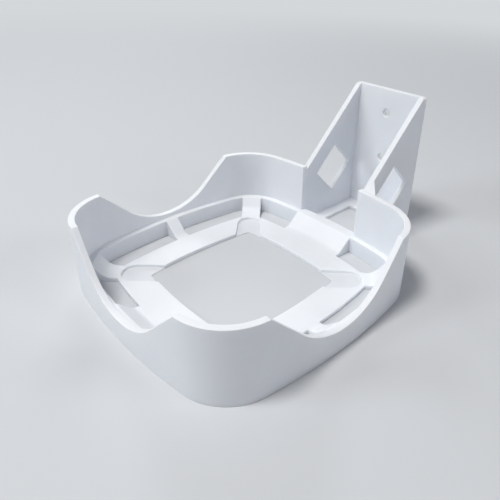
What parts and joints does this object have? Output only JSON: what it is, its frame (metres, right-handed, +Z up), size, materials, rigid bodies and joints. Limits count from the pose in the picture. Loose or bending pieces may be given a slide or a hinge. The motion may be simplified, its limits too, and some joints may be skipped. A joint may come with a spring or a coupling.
{
  "type": "router wall mount",
  "caption": "One-piece wall mount for a square router: shallow cradle with scalloped sides and open floor, carried by a braced bracket with a screw plate.",
  "frame": {"origin": "middle of the part's bounding box, on its flat underside", "axes": "+Y towards the wall that the plate is screwed to, +Z up, X along the width"},
  "size_m": [0.1314, 0.1766, 0.0768],
  "materials": {
    "wall_mount": "plain white plastic with a soft satin surface"
  },
  "bodies": {
    "root": {"wall_mount": "wall_mount"}
  },
  "joints": []
}
